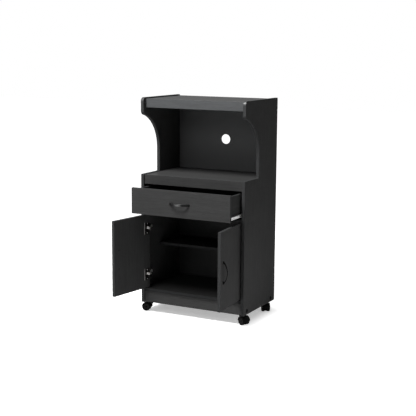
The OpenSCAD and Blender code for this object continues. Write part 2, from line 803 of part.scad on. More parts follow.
module left_door() { color(laminate) door_place(left_open) door(); }
module left_door_screws() { color(steel) door_place(left_open) door_screws(); }
module left_hinge_cups() { color(steel) door_hinges(left_open) hinge_cup(); }
module left_hinge_pins() { color(steel) door_hinges(left_open) hinge_pin(); }
module left_door_handle() { color(black) door_place(left_open) door_handle(); }
module right_door() { color(laminate) mirror([1, 0, 0]) door_place(right_open) door(); }
module right_door_screws() {
    color(steel) mirror([1, 0, 0]) door_place(right_open) door_screws();
}
module right_hinge_cups() { color(steel) mirror([1, 0, 0]) door_hinges(right_open) hinge_cup(); }
module right_hinge_pins() { color(steel) mirror([1, 0, 0]) door_hinges(right_open) hinge_pin(); }
module right_door_handle() { color(black) mirror([1, 0, 0]) door_place(right_open) door_handle(); }

// A bow handle along X on a front whose face is y = 0, standing out to -Y
module bow_handle() {
    difference() {
        union() {
            intersection() {
                translate([0, bow_r - handle_out, 0]) difference() {
                    cylinder(h = handle_w, r = bow_r, center = true, $fn = 120);
                    cylinder(h = 2 * handle_w, r = bow_r - handle_t, center = true, $fn = 120);
                }
                translate([-handle_l / 2, -handle_out - overcut, -handle_w])
                    cube([handle_l, handle_out + overcut, 2 * handle_w]);
            }
            for (x = [-handle_span / 2, handle_span / 2])
                translate([x, -post_l, 0]) bar_y(post_l, post_r);
        }
        for (x = [-handle_span / 2, handle_span / 2])
            translate([x, board_t - handle_screw_l - seat_gap, 0])
                bar_y(handle_screw_l, handle_screw_r + seat_gap);
    }
}
// The screws of a bow handle, with their heads behind the front
module handle_screws() {
    for (x = [-handle_span / 2, handle_span / 2]) {
        translate([x, board_t - handle_screw_l, 0])
            bar_y(handle_screw_l + handle_head_t, handle_screw_r);
        translate([x, board_t, 0]) bar_y(handle_head_t, 2 * handle_screw_r);
    }
}
module door_handle() {
    translate([handle_u, 0, door_handle_z]) rotate([0, 90, 0]) bow_handle();
}

module drawer_dowel_bars(r, extra) {
    both_sides() for (z = drawer_joint_zs)
        translate([-box_x + box_t / 2, box_y - drawer_dowel_depth - extra, z])
            bar_y(2 * (drawer_dowel_depth + extra), r);
}
module drawer_base_slot(gap) {
    base_x = box_x - box_t + groove_d + gap;
    translate([-base_x, box_y - groove_d - gap, box_base_z - gap])
        cube([2 * base_x, box_len + groove_d + 2 * overcut, base_t + 2 * gap]);
}
module drawer_screw_bores() {
    both_sides() for (z = drawer_joint_zs)
        translate([-box_x - overcut, box_back_y + box_t / 2, z])
            bar_x(drawer_screw_l + overcut + seat_gap, screw_r + seat_gap);
}
module drawer_front() {
    color(laminate) difference() {
        translate([-inner_x + drawer_side_gap, drawer_y, drawer_z])
            cube([2 * (inner_x - drawer_side_gap), board_t, drawer_front_h]);
        drawer_base_slot(seat_gap);
        drawer_dowel_bars(drawer_dowel_r + seat_gap, seat_gap);
        for (x = [-handle_span / 2, handle_span / 2])
            translate([x, drawer_y - overcut, drawer_mid_z])
                bar_y(board_t + 2 * overcut, handle_screw_r + seat_gap);
    }
}
module drawer_side() {
    difference() {
        translate([-box_x, box_y, box_z]) cube([box_t, box_len, box_h]);
        drawer_base_slot(seat_gap);
        drawer_dowel_bars(drawer_dowel_r + seat_gap, seat_gap);
        drawer_screw_bores();
    }
}
module drawer_left_side() { color(laminate) drawer_side(); }
module drawer_right_side() { color(laminate) mirror([1, 0, 0]) drawer_side(); }
module drawer_back() {
    back_z = box_base_z + base_t + seat_gap;
    color(laminate) difference() {
        translate([-box_x + box_t, box_back_y, back_z])
            cube([2 * (box_x - box_t), box_t, box_z + box_h - back_z]);
        drawer_screw_bores();
    }
}
module drawer_base() {
    color(laminate) intersection() {
        drawer_base_slot(0);
        translate([-inner_x, drawer_y, drawer_z])
            cube([2 * inner_x, board_t + box_len, drawer_front_h]);
    }
}
module drawer_handle() { color(black) translate([0, drawer_y, drawer_mid_z]) bow_handle(); }
module drawer_screws() {
    color(steel) {
        translate([0, drawer_y, drawer_mid_z]) handle_screws();
        both_sides() for (z = drawer_joint_zs)
            translate([-box_x + seat_gap, box_back_y + box_t / 2, z])
                bar_x(drawer_screw_l - seat_gap, screw_r);
    }
}
module drawer_dowels() { color(board_core) drawer_dowel_bars(drawer_dowel_r, 0); }

// Casters: local axes at the swivel, the wheels trail along +X
module caster_screw_bores() {
    for (p = caster_spots) for (dx = [-1, 1]) for (dy = [-1, 1])
        translate([p[0] + dx * caster_screw_span / 2, p[1] + dy * caster_screw_span / 2,
            caster_top - overcut]) cylinder(h = screw_l + overcut, r = screw_r + seat_gap);
}
module caster_plates() {
    color(black) for (p = caster_spots) difference() {
        translate([p[0], p[1], 0]) union() {
            translate([-plate_w / 2, -plate_w / 2, caster_top - caster_plate_t])
                cube([plate_w, plate_w, caster_plate_t]);
            translate([0, 0, hood_top - 2 * neck_r])
                cylinder(h = caster_top - hood_top + 2 * neck_r, r = swivel_r);
            translate([0, 0, neck_top + run_gap])
                cylinder(h = caster_top - neck_top - run_gap, r = neck_r);
        }
        caster_screw_holes(p);
    }
}
module caster_screw_holes(p) {
    for (dx = [-1, 1]) for (dy = [-1, 1])
        translate([p[0] + dx * caster_screw_span / 2, p[1] + dy * caster_screw_span / 2,
            caster_top - caster_plate_t - overcut])
            cylinder(h = caster_plate_t + 2 * overcut, r = screw_r + seat_gap);
}
module caster_screws() {
    color(steel) for (p = caster_spots) for (dx = [-1, 1]) for (dy = [-1, 1])
        translate([p[0] + dx * caster_screw_span / 2, p[1] + dy * caster_screw_span / 2,
            caster_top - caster_plate_t]) rotate([0, -90, 0]) screw_x();
}
// A disc across the wheels' axle, from -w/2 to w/2
module axle_disc(r, w) {
    translate([trail, 0, wheel_r]) rotate([90, 0, 0]) cylinder(h = w, r = r, center = true);
}
module caster_hood() {
    difference() {
        union() {
            difference() {
                axle_disc(hood_r, hood_w);
                axle_disc(hood_r - hood_t, hood_w + overcut);
                translate([trail - hood_r - overcut, -hood_w, -hood_r])
                    cube([2 * (hood_r + overcut), 2 * hood_w, hood_r + wheel_r]);
            }
            difference() {
                axle_disc(hood_r - hood_t / 2, web_t);
                translate([trail - hood_r - overcut, -hood_w, -hood_r])
                    cube([2 * (hood_r + overcut), 2 * hood_w, hood_r + wheel_r / 3]);
            }
            translate([0, 0, hood_top - neck_r])
                cylinder(h = neck_top - hood_top + neck_r, r = neck_r);
            translate([-web_t / 2, -web_t / 2, wheel_r])
                cube([trail, web_t, hood_top - wheel_r - hood_t]);
        }
        difference() {
            axle_disc(wheel_r + hood_gap, hood_w + overcut);
            axle_disc(wheel_r + 2 * hood_gap, web_t);
        }
        translate([0, 0, hood_top - 2 * neck_r - overcut])
            cylinder(h = 4 * neck_r, r = swivel_r + run_gap);
        axle_disc(axle_r + run_gap, hood_w);
    }
}
module caster_wheels() {
    for (s = [-1, 1]) translate([trail, s * wheel_y, wheel_r]) rotate([90 * s, 0, 0])
        rotate_extrude($fn = 96) wheel_section();
    axle_disc(axle_r, 2 * wheel_y);
}
// Half section of a wheel: x from the axle, y across the tread, the open side up
module wheel_section() {
    side = wheel_w / 2;
    rim = wheel_r - tread_t;
    polygon([[0, -side], [wheel_r - wheel_edge, -side], [wheel_r, wheel_edge - side],
        [wheel_r, side - wheel_edge], [wheel_r - wheel_edge, side], [rim, side],
        [rim - wheel_edge, side - wheel_edge], [0, side - wheel_edge]]);
}
module caster(spot, turn) {
    translate([caster_spots[spot][0], caster_spots[spot][1], 0]) rotate([0, 0, turn]) children();
}
module front_left_hood() { color(black) caster(0, front_left_turn) caster_hood(); }
module front_right_hood() { color(black) caster(1, front_right_turn) caster_hood(); }
module rear_left_hood() { color(black) caster(2, rear_left_turn) caster_hood(); }
module rear_right_hood() { color(black) caster(3, rear_right_turn) caster_hood(); }
module front_left_wheels() { color(black) caster(0, front_left_turn) caster_wheels(); }
module front_right_wheels() { color(black) caster(1, front_right_turn) caster_wheels(); }
module rear_left_wheels() { color(black) caster(2, rear_left_turn) caster_wheels(); }
module rear_right_wheels() { color(black) caster(3, rear_right_turn) caster_wheels(); }

left_side_panel();
right_side_panel();
top_panel();
top_fascia();
worktop();
worktop_fascia();
divider_rail();
bottom_panel();
plinth();
front_caster_rail();
rear_caster_rail();
upper_back();
lower_back();
half_shelf();
shelf_pins();
cam_locks();
cam_studs();
dowels();
rail_screws();
screw_caps();
back_nails();
left_slide_channel();
right_slide_channel();
carcass_screws();
hinge_arms();
caster_plates();
caster_screws();
drawer_front();
drawer_left_side();
drawer_right_side();
drawer_back();
drawer_base();
drawer_handle();
drawer_screws();
drawer_dowels();
left_slide_runner();
right_slide_runner();
front_left_roller();
front_right_roller();
rear_left_roller();
rear_right_roller();
left_door();
left_door_handle();
left_door_screws();
left_hinge_cups();
left_hinge_pins();
right_door();
right_door_handle();
right_door_screws();
right_hinge_cups();
right_hinge_pins();
front_left_hood();
front_right_hood();
rear_left_hood();
rear_right_hood();
front_left_wheels();
front_right_wheels();
rear_left_wheels();
rear_right_wheels();
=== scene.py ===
import bmesh
import bpy
import json
import math
from mathutils import Matrix, Vector

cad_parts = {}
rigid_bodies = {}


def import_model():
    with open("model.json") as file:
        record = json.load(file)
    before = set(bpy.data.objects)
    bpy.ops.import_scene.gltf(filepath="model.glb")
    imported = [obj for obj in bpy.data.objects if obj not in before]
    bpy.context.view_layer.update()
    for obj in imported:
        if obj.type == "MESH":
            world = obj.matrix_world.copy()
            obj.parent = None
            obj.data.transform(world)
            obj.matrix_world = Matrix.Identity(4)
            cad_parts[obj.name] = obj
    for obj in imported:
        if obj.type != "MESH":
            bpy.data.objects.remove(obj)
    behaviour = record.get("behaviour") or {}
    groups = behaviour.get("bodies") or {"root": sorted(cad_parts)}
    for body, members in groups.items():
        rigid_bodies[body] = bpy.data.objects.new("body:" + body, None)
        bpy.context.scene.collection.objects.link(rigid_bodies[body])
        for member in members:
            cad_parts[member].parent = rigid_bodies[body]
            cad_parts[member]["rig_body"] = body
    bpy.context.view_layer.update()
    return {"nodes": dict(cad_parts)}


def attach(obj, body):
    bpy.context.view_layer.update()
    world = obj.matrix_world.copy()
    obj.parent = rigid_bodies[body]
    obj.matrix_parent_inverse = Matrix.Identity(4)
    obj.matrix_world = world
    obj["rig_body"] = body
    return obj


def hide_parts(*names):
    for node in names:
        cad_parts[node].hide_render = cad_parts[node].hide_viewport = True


for thing in list(bpy.data.objects):
    bpy.data.objects.remove(thing)
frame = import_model()
nodes = frame["nodes"]
print("frame loaded:", len(nodes), "nodes")


# shader maths: an output socket that takes part in sums

class Wire:
    def __init__(self, finish, out):
        self.finish = finish
        self.out = out

    def maths(self, operation, *values):
        return self.finish.add("ShaderNodeMath", {"operation": operation}, values)

    def __add__(self, other):
        return self.maths("ADD", self, other)

    def __sub__(self, other):
        return self.maths("SUBTRACT", self, other)

    def __rsub__(self, other):
        return self.maths("SUBTRACT", other, self)

    def __mul__(self, other):
        return self.maths("MULTIPLY", self, other)

    __radd__ = __add__
    __rmul__ = __mul__


class Finish:
    def __init__(self, name, uniform, world=None):
        self.material = world or bpy.data.materials.new(name)
        self.material.use_nodes = True
        self.tree = self.material.node_tree
        self.shader = self.tree.nodes["Background" if world else "Principled BSDF"]
        for socket, value in uniform.items():
            self.shader.inputs[socket].default_value = value

    def add(self, kind, settings=None, inputs=(), output=0):
        node = self.tree.nodes.new(kind)
        for key, value in (settings or {}).items():
            if key == "stops":
                for stop, (place, level) in zip(node.color_ramp.elements, value):
                    stop.position = place
                    stop.color = (level, level, level, 1)
            else:
                setattr(node, key, value)
        pairs = inputs.items() if isinstance(inputs, dict) else enumerate(inputs)
        for key, value in pairs:
            self.feed(node.inputs[key], value)
        return Wire(self, node.outputs[output])

    def feed(self, socket, value):
        if isinstance(value, Wire):
            self.tree.links.new(value.out, socket)
        else:
            socket.default_value = value

    def stretched(self, scale):  # the mesh's own coordinates; a scale below 1 draws the grain out
        place = self.add("ShaderNodeTexCoord", output="Object")
        return self.add("ShaderNodeVectorMath", {"operation": "MULTIPLY"}, [place, scale])

    def noise(self, place, scale, detail, roughness=0.55, distortion=0.0):
        # the finishes' settings hold its arguments, and those of bump, in this order
        return self.add("ShaderNodeTexNoise", {}, {"Vector": place, "Scale": scale,
            "Detail": detail, "Roughness": roughness, "Distortion": distortion})

    def ramp(self, value, stops):
        return self.add("ShaderNodeValToRGB", {"stops": stops}, [value])

    def blend(self, amount, first, second):  # 0, 6 and 7 are the Mix node's factor and colours
        return self.add("ShaderNodeMix", {"data_type": "RGBA"}, {0: amount, 6: first, 7: second}, 2)

    def bump(self, height, strength, distance):
        return self.add("ShaderNodeBump", {}, {"Height": height, "Strength": strength,
            "Distance": distance})

    def seen(self):  # 1 for what the camera sees, also in a gloss or through glass
        rays = self.add("ShaderNodeLightPath", output="Is Camera Ray")
        for kind in ("Is Glossy Ray", "Is Transmission Ray"):
            rays = rays.maths("MAXIMUM", rays, self.add("ShaderNodeLightPath", output=kind))
        return rays

    def wear(self, **sockets):  # links what varies over the surface
        names = {"colour": "Base Color", "roughness": "Roughness", "normal": "Normal",
            "metal": "Metallic"}
        for key, value in sockets.items():
            self.feed(self.shader.inputs[names[key]], value)
        return self.material


def grey(level, warm=0.0):  # a near-grey linear colour; warm moves it from blue to red
    return (level * (1 + warm), level, level * (1 - warm), 1)


def shades(level, shares, warm=0.0):  # the dark and the light of one finish
    return [grey(level * share, warm) for share in shares]


# finishes

laminate = {"shades": (0.036, 0.062), "specular": 0.003, "along": 0.035,
    "streak": (260, 4, 0.6, 0.4), "pore": (900, 2), "cloud": (5, 2), "band": (70, 2),
    "poreStops": [(0.56, 0), (0.66, 1)], "streakTint": 0.8, "bandTint": 0.45, "cloudTint": 0.4,
    "poreTint": 0.3, "tintShift": 0.325, "streakRise": 0.5, "poreSink": 0.6, "roughness": 0.42,
    "streakRough": 0.14, "cloudRough": 0.06, "roughShift": 0.1, "bump": (0.22, 0.0002)}


def laminateFinish(name, grain, tone=1.0, warm=0.0):
    across = [1.0 if axis != grain else laminate["along"] for axis in "xyz"]
    look = Finish(name, {"Specular IOR Level": laminate["specular"]})
    place = look.stretched(across)
    streak = look.noise(place, *laminate["streak"])
    pore = look.ramp(look.noise(place, *laminate["pore"]), laminate["poreStops"])
    cloud = look.noise(look.stretched((1, 1, 1)), *laminate["cloud"])
    band = look.noise(place, *laminate["band"])
    amount = (streak * laminate["streakTint"] + band * laminate["bandTint"]
        + cloud * laminate["cloudTint"] - pore * laminate["poreTint"] - laminate["tintShift"])
    colour = look.blend(amount, *shades(tone, laminate["shades"], warm))
    height = streak * laminate["streakRise"] - pore * laminate["poreSink"]
    roughness = (streak * laminate["streakRough"] + cloud * laminate["cloudRough"]
        + laminate["roughness"] - laminate["roughShift"])
    return look.wear(colour=colour, roughness=roughness, normal=look.bump(height, *laminate["bump"]))


edge = {"shades": (0.042, 0.054), "warm": -0.02, "roughness": 0.3, "specular": 0.004,
    "crownGloss": 0.5, "ripple": (320, 3, 0.6), "cloud": (14, 2), "share": 0.5,
    "rippleRough": 0.12, "bump": (0.08, 0.0002)}


def edgeFinish(name, specular, tone=1.0):  # the plastic band ironed on to the boards' edges
    look = Finish(name, {"Specular IOR Level": specular})
    place = look.stretched((1, 1, 1))
    ripple = look.noise(place, *edge["ripple"])
    cloud = look.noise(place, *edge["cloud"])
    colour = look.blend(ripple * edge["share"] + cloud * edge["share"],
        *shades(tone, edge["shades"], edge["warm"]))
    return look.wear(colour=colour, roughness=ripple * edge["rippleRough"] + edge["roughness"],
        normal=look.bump(ripple, *edge["bump"]))


metal = {"shades": (0.85, 1.1), "along": 0.1, "cloud": (90, 3), "fine": (1400, 2),
    "fineRough": 0.08, "cloudRough": 0.1, "bump": (0.06, 0.0001)}


def metalFinish(name, level, roughness, warm=0.0):
    look = Finish(name, {"Metallic": 1.0})
    place = look.stretched((1, 1, 1))
    cloud = look.noise(place, *metal["cloud"])
    fine = look.noise(look.stretched((1, metal["along"], 1)), *metal["fine"])
    colour = look.blend(cloud, *shades(level, metal["shades"], warm))
    return look.wear(colour=colour, roughness=fine * metal["fineRough"]
        + cloud * metal["cloudRough"] + roughness, normal=look.bump(fine, *metal["bump"]))


moulded = {"shades": (0.85, 1.2), "cloud": (60, 3), "grainDetail": 2, "cloudRough": 0.1,
    "grainRough": 0.06, "roughShift": 0.05, "bumpDistance": 0.0001}


def mouldedFinish(name, level, roughness, grain, specular=0.5, warm=0.0):  # grain: scale, depth
    look = Finish(name, {"Specular IOR Level": specular})
    place = look.stretched((1, 1, 1))
    cloud = look.noise(place, *moulded["cloud"])
    grains = look.noise(place, grain[0], moulded["grainDetail"])
    colour = look.blend(cloud, *shades(level, moulded["shades"], warm))
    return look.wear(colour=colour, roughness=cloud * moulded["cloudRough"]
        + grains * moulded["grainRough"] + roughness - moulded["roughShift"],
        normal=look.bump(grains, grain[1], moulded["bumpDistance"]))


# a painted highlight on the drawer handle: a bright metal patch at the bow's middle, in place of a
# lamp's glint
handleGlint = {"middle": (-0.002, 0, 0), "squeeze": (1, 0, 0), "half": 0.03, "along": 0.1,
    "fine": (1400, 2), "patchDepth": 0.4, "patchFloor": 0.8, "enamel": 0.004, "level": 0.1,
    "specular": 0.08, "roughness": 0.25, "fineRough": 0.08, "bump": (0.04, 0.0001)}


def glintPatchEnamel():  # the drawer handle's black enamel, with a painted highlight: bright metal at the bow's middle stands in for a lamp's glint
    look = Finish("handle enamel with a painted highlight", {"Specular IOR Level": handleGlint["specular"]})
    off = look.stretched((1, 1, 1))
    for operation, key in (("SUBTRACT", "middle"), ("MULTIPLY", "squeeze")):
        off = look.add("ShaderNodeVectorMath", {"operation": operation}, [off, handleGlint[key]])
    off = look.add("ShaderNodeVectorMath", {"operation": "LENGTH"}, [off], "Value")
    wornFinishesOrGlint = look.add("ShaderNodeMapRange", {"interpolation_type": "SMOOTHSTEP"},
        [off, 0.0, handleGlint["half"], 1.0, 0.0])
    fine = look.noise(look.stretched((handleGlint["along"], 1, 1)), *handleGlint["fine"])
    # the painted highlight's mask, broken up by fine noise
    wornFinishesOrGlint = wornFinishesOrGlint * (fine * handleGlint["patchDepth"] + handleGlint["patchFloor"])
    colour = look.blend(wornFinishesOrGlint, grey(handleGlint["enamel"]), grey(handleGlint["level"]))
    return look.wear(colour=colour, metal=wornFinishesOrGlint, roughness=fine * handleGlint["fineRough"]
        + handleGlint["roughness"], normal=look.bump(fine, *handleGlint["bump"]))


beech = {"dark": (0.42, 0.27, 0.14, 1), "light": (0.62, 0.44, 0.26, 1), "specular": 0.4,
    "along": 0.05, "lines": (700, 4, 0.6), "linesRough": 0.2, "roughness": 0.55,
    "bump": (0.2, 0.0002)}


def beechFinish():
    look = Finish("beech", {"Specular IOR Level": beech["specular"]})
    lines = look.noise(look.stretched((beech["along"], 1, 1)), *beech["lines"])
    return look.wear(colour=look.blend(lines, beech["dark"], beech["light"]),
        roughness=lines * beech["linesRough"] + beech["roughness"],
        normal=look.bump(lines, *beech["bump"]))


hardboard = {"shades": (0.85, 1.2), "warm": -0.02, "specular": 0.25, "mottle": (420, 4, 0.7),
    "cloud": (6, 2), "mottleTint": 0.6, "cloudTint": 0.4, "mottleRough": 0.2, "roughness": 0.45,
    "bump": (0.12, 0.0002)}


def hardboardFinish(name, level):
    look = Finish(name, {"Specular IOR Level": hardboard["specular"]})
    place = look.stretched((1, 1, 1))
    mottle = look.noise(place, *hardboard["mottle"])
    cloud = look.noise(place, *hardboard["cloud"])
    colour = look.blend(mottle * hardboard["mottleTint"] + cloud * hardboard["cloudTint"],
        *shades(level, hardboard["shades"], hardboard["warm"]))
    return look.wear(colour=colour, roughness=mottle * hardboard["mottleRough"]
        + hardboard["roughness"], normal=look.bump(mottle, *hardboard["bump"]))


finishes = {
    "grainX": laminateFinish("laminate, grain across", "x"),
    "grainY": laminateFinish("laminate, grain front to back", "y"),
    "grainZ": laminateFinish("laminate, grain upright", "z"),
    # a lightened copy of the laminate: painted light for the top fascia, which the light from above
    # makes brighter
    "fascia": laminateFinish("laminate lightened as painted light, top fascia", "x", tone=1.75, warm=-0.03),
    # a darkened copy of the laminate: painted shade for the boards inside the cupboard
    "shaded": laminateFinish("laminate darkened as painted shade, cupboard inside", "x", tone=0.3),
    "edgeBand": edgeFinish("edge band", edge["specular"]),
    # a darkened copy of the edge band: painted shade on those boards' edges
    "shadedBand": edgeFinish("edge band darkened as painted shade, cupboard inside", edge["specular"], tone=0.5),
    "crownBand": edgeFinish("edge band, polished at the crown", edge["crownGloss"]),
    "hardboard": hardboardFinish("papered hardboard", level=0.066),
    # a darkened copy of the hardboard: painted shade for the cupboard's back and the drawer's base
    "darkHardboard": hardboardFinish("hardboard darkened as painted shade", level=0.006),
    "zinc": metalFinish("zinc plate", level=0.55, roughness=0.28),
    "armSteel": metalFinish("hinge arm plate", level=0.78, roughness=0.4, warm=0.03),
    "lipSteel": metalFinish("hinge lip steel", level=0.16, roughness=0.25, warm=0.03),
    # a darkened metal: painted shade for the hollows of the hinge cups
    "shadeDarkCupSteel": metalFinish("cup steel darkened as painted shade", level=0.05, roughness=0.3, warm=0.06),
    "beech": beechFinish(),
    "enamel": mouldedFinish("white slide enamel", level=0.88, roughness=0.3, grain=(500, 0.08)),
    "nylon": mouldedFinish("roller nylon", level=0.72, roughness=0.4, grain=(900, 0.05), warm=0.01),
    "blackGloss": mouldedFinish("black handle enamel", level=0.003, roughness=0.3,
        grain=(300, 0.03), specular=0.02),
    "glintPatchEnamel": glintPatchEnamel(),
    "blackPlastic": mouldedFinish("black moulded plastic", level=0.003, roughness=0.35,
        grain=(1500, 0.12), specular=0.02),
    "capPlastic": mouldedFinish("screw cap plastic", level=0.002, roughness=0.5,
        grain=(1500, 0.12), specular=0.003),
    "wheelFace": mouldedFinish("wheel face plastic", level=0.014, roughness=0.4,
        grain=(1500, 0.12), specular=0.03),
    "tread": mouldedFinish("wheel tread", level=0.005, roughness=0.5, grain=(1100, 0.2),
        specular=0.02),
    "blackSteel": mouldedFinish("black plate enamel", level=0.016, roughness=0.4,
        grain=(700, 0.1), specular=0.1),
}
print("finishes:", len(finishes))

nodeFinish = {
    "zinc": ["shelf_pins", "cam_locks", "cam_studs", "rail_screws", "back_nails", "carcass_screws",
        "caster_screws", "drawer_screws", "left_door_screws", "right_door_screws"],
    "armSteel": ["hinge_arms"],
    # the hinge cups and pins wear the darkened metal, painted shade
    "shadeDarkCupSteel": ["left_hinge_cups", "right_hinge_cups", "left_hinge_pins", "right_hinge_pins"],
    "beech": ["dowels", "drawer_dowels"],
    "enamel": ["left_slide_channel", "right_slide_channel", "left_slide_runner",
        "right_slide_runner"],
    "nylon": ["front_left_roller", "front_right_roller", "rear_left_roller", "rear_right_roller"],
    "capPlastic": ["screw_caps"],
    "blackPlastic": ["front_left_hood", "front_right_hood", "rear_left_hood", "rear_right_hood"],
    "blackSteel": ["caster_plates"],
    "hardboard": ["upper_back"],
    # the darkened hardboard here is painted shade
    "darkHardboard": ["lower_back", "drawer_base"],
}
boards = {
    "grainX": ["top_panel", "worktop", "worktop_fascia", "plinth", "front_caster_rail",
        "rear_caster_rail", "drawer_front", "drawer_back"],
    # these boards wear the darkened laminate, painted shade
    "shaded": ["divider_rail", "bottom_panel", "half_shelf"],
    # the top fascia wears the lightened laminate, painted light
    "fascia": ["top_fascia"],
    "grainY": ["drawer_left_side", "drawer_right_side"],
    "grainZ": ["left_door", "right_door"],
}
bodyOf = {name: thing["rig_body"] for name, thing in nodes.items()}


# meshes

def showMesh(name, mesh, body, wornFinishesOrGlint, replaced=(), smoothAngle=40):
    bmesh.ops.recalc_face_normals(mesh, faces=mesh.faces)
    data = bpy.data.meshes.new(name)
    mesh.to_mesh(data)
    mesh.free()
    if "custom_normal" in data.attributes:
        data.attributes.remove(data.attributes["custom_normal"])
    data.polygons.foreach_set("use_smooth", [True] * len(data.polygons))
    data.set_sharp_from_angle(angle=math.radians(smoothAngle))
    thing = bpy.data.objects.new(name, data)
    bpy.context.scene.collection.objects.link(thing)
    for finish in wornFinishesOrGlint:  # clearing the materials first would lose each face's own
        data.materials.append(finishes[finish])
    thing.modifiers.new("flat faces stay flat", "WEIGHTED_NORMAL").keep_sharp = True
    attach(thing, body)
    if replaced:
        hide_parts(*replaced)


def bridge(mesh, one, two):  # a band of faces between two rings of equal count
    count = len(one)
    return [mesh.faces.new([one[k], one[(k + 1) % count], two[(k + 1) % count], two[k]])
        for k in range(count)]


def easeEdges(mesh, edges, width, segments, clamp=False):
    bmesh.ops.bevel(mesh, geom=edges, offset=width, offset_type="OFFSET", profile=0.5,
        segments=segments, affect="EDGES", clamp_overlap=clamp)


def arc(centre, radius, start, end, steps):
    return [(centre[0] + radius * math.cos(math.radians(start + (end - start) * k / steps)),
        centre[1] + radius * math.sin(math.radians(start + (end - start) * k / steps)))
        for k in range(steps + 1)]


def lathe(mesh, profile, turn, sides):
    # rings of (radius, height, finish index) round the Z axis of the matrix turn
    rings = []
    for radius, height, _ in profile:
        if radius == 0:
            rings.append([mesh.verts.new(turn @ Vector((0, 0, height)))])
        else:
            angles = [math.tau * k / sides for k in range(sides)]
            rings.append([mesh.verts.new(turn @ Vector((radius * math.cos(angle),
                radius * math.sin(angle), height))) for angle in angles])
    for (one, two), (_, _, index) in zip(zip(rings, rings[1:]), profile[1:]):
        for k in range(sides):
            j = (k + 1) % sides
            corners = [one[k % len(one)], one[j % len(one)], two[j % len(two)], two[k % len(two)]]
            corners = [v for i, v in enumerate(corners) if v not in corners[:i]]
            mesh.faces.new(corners).material_index = index


# boards: the CAD's own meshes with their outer edges eased

board = {"ease": 0.0008, "segments": 3, "flat": 0.01, "weld": 2e-6, "square": 0.999,
    "near": 2e-5, "across": 0.5, "corner": 1}  # flat and corner are angles in radians
hinge = {"pinX": 0.268978, "pinY": -0.1855, "leftOpen": 99, "rightOpen": 95}


def doorTurn(side):  # takes the closed door to where it stands at rest
    pin = Matrix.Translation((side * hinge["pinX"], hinge["pinY"], 0))
    angle = hinge["rightOpen"] if side > 0 else -hinge["leftOpen"]
    return pin @ Matrix.Rotation(math.radians(angle), 4, "Z") @ pin.inverted()


def easedBoard(name, finish):
    turn = {"left_door": doorTurn(-1), "right_door": doorTurn(1)}.get(name, Matrix())
    mesh = bmesh.new()
    mesh.from_mesh(nodes[name].data)
    mesh.transform(turn.inverted())
    bmesh.ops.remove_doubles(mesh, verts=mesh.verts, dist=board["weld"])
    bmesh.ops.dissolve_limit(mesh, angle_limit=board["flat"], verts=mesh.verts, edges=mesh.edges)
    low = [min(v.co[i] for v in mesh.verts) for i in range(3)]
    high = [max(v.co[i] for v in mesh.verts) for i in range(3)]

    def onBox(face):
        axis = max(range(3), key=lambda i: abs(face.normal[i]))
        at = face.verts[0].co[axis]
        off = min(abs(at - low[axis]), abs(at - high[axis]))
        return abs(face.normal[axis]) > board["square"] and off < board["near"]

    thin = min(range(3), key=lambda i: high[i] - low[i])
    for face in mesh.faces:
        face.material_index = int(onBox(face) and abs(face.normal[thin]) < board["across"])
    rims = [e for e in mesh.edges if len(e.link_faces) == 2 and all(map(onBox, e.link_faces))
        and e.calc_face_angle(0) > board["corner"]]
    easeEdges(mesh, rims, board["ease"], board["segments"])
    mesh.transform(turn)
    band = "shadedBand" if finish == "shaded" else "edgeBand"
    showMesh(name + "_eased", mesh, bodyOf[name], [finish, band], [name])


for finish, names in boards.items():
    for name in names:
        easedBoard(name, finish)
print("boards eased")


# side panels

panel = {"outer": 0.3, "thick": 0.016, "front": -0.1935, "bottom": 0.0524, "depth": 0.384,
    "height": 1.084, "step": 0.687, "setback": 0.1635, "hollow": 0.19, "hollowSteps": 48,
    "nose": 0.022, "noseDrop": 0.068, "noseSteps": 14, "crown": 0.020, "crownSteps": 10,
    "polished": (6, 12), "fillet": 0.004, "filletSteps": 8, "stepRound": 0.003,
    "roundSteps": 6, "ease": 0.0008, "segments": 3}  # polished: first and last glossy strip


def panelOutline():
    crownZ = panel["height"] - panel["crown"]
    noseZ = panel["height"] - panel["noseDrop"]
    hollowY = panel["setback"] - panel["hollow"]
    rise = math.sqrt((panel["hollow"] + panel["nose"]) ** 2 - (panel["nose"] - hollowY) ** 2)
    meet = math.degrees(math.atan2(rise, panel["nose"] - hollowY))
    fillet, stepRound = panel["fillet"], panel["stepRound"]
    points = [(0, 0), (panel["depth"], 0), (panel["depth"], panel["height"])]
    points += arc((panel["crown"], crownZ), panel["crown"], 90, 180, panel["crownSteps"])
    points += arc((panel["nose"], noseZ), panel["nose"], 180, 180 + meet, panel["noseSteps"])
    points += arc((hollowY, noseZ - rise), panel["hollow"], meet, 0, panel["hollowSteps"])[1:]
    points += arc((panel["setback"] - fillet, panel["step"] + fillet), fillet, 0, -90,
        panel["filletSteps"])
    points += arc((stepRound, panel["step"] - stepRound), stepRound, 90, 180,
        panel["roundSteps"])
    return points


def sidePanel(name, side):
    mesh = bmesh.new()
    ends = []
    for x in (panel["outer"], panel["outer"] - panel["thick"]):
        ends.append([mesh.verts.new((side * x, panel["front"] + y, panel["bottom"] + z))
            for y, z in panelOutline()])
    mesh.faces.new(ends[0])
    mesh.faces.new(ends[1][::-1])
    first, last = panel["polished"]
    for k, strip in enumerate(bridge(mesh, *ends)):
        strip.material_index = 2 if first <= k <= last else 1
    rims = [e for e in mesh.edges if e.verts[0].co.x == e.verts[1].co.x]
    easeEdges(mesh, rims, panel["ease"], panel["segments"])
    showMesh(name + "_eased", mesh, "carcass", ["grainZ", "edgeBand", "crownBand"],
        [name])


sidePanel("left_side_panel", -1)
sidePanel("right_side_panel", 1)
print("side panels shaped")


# bow handles

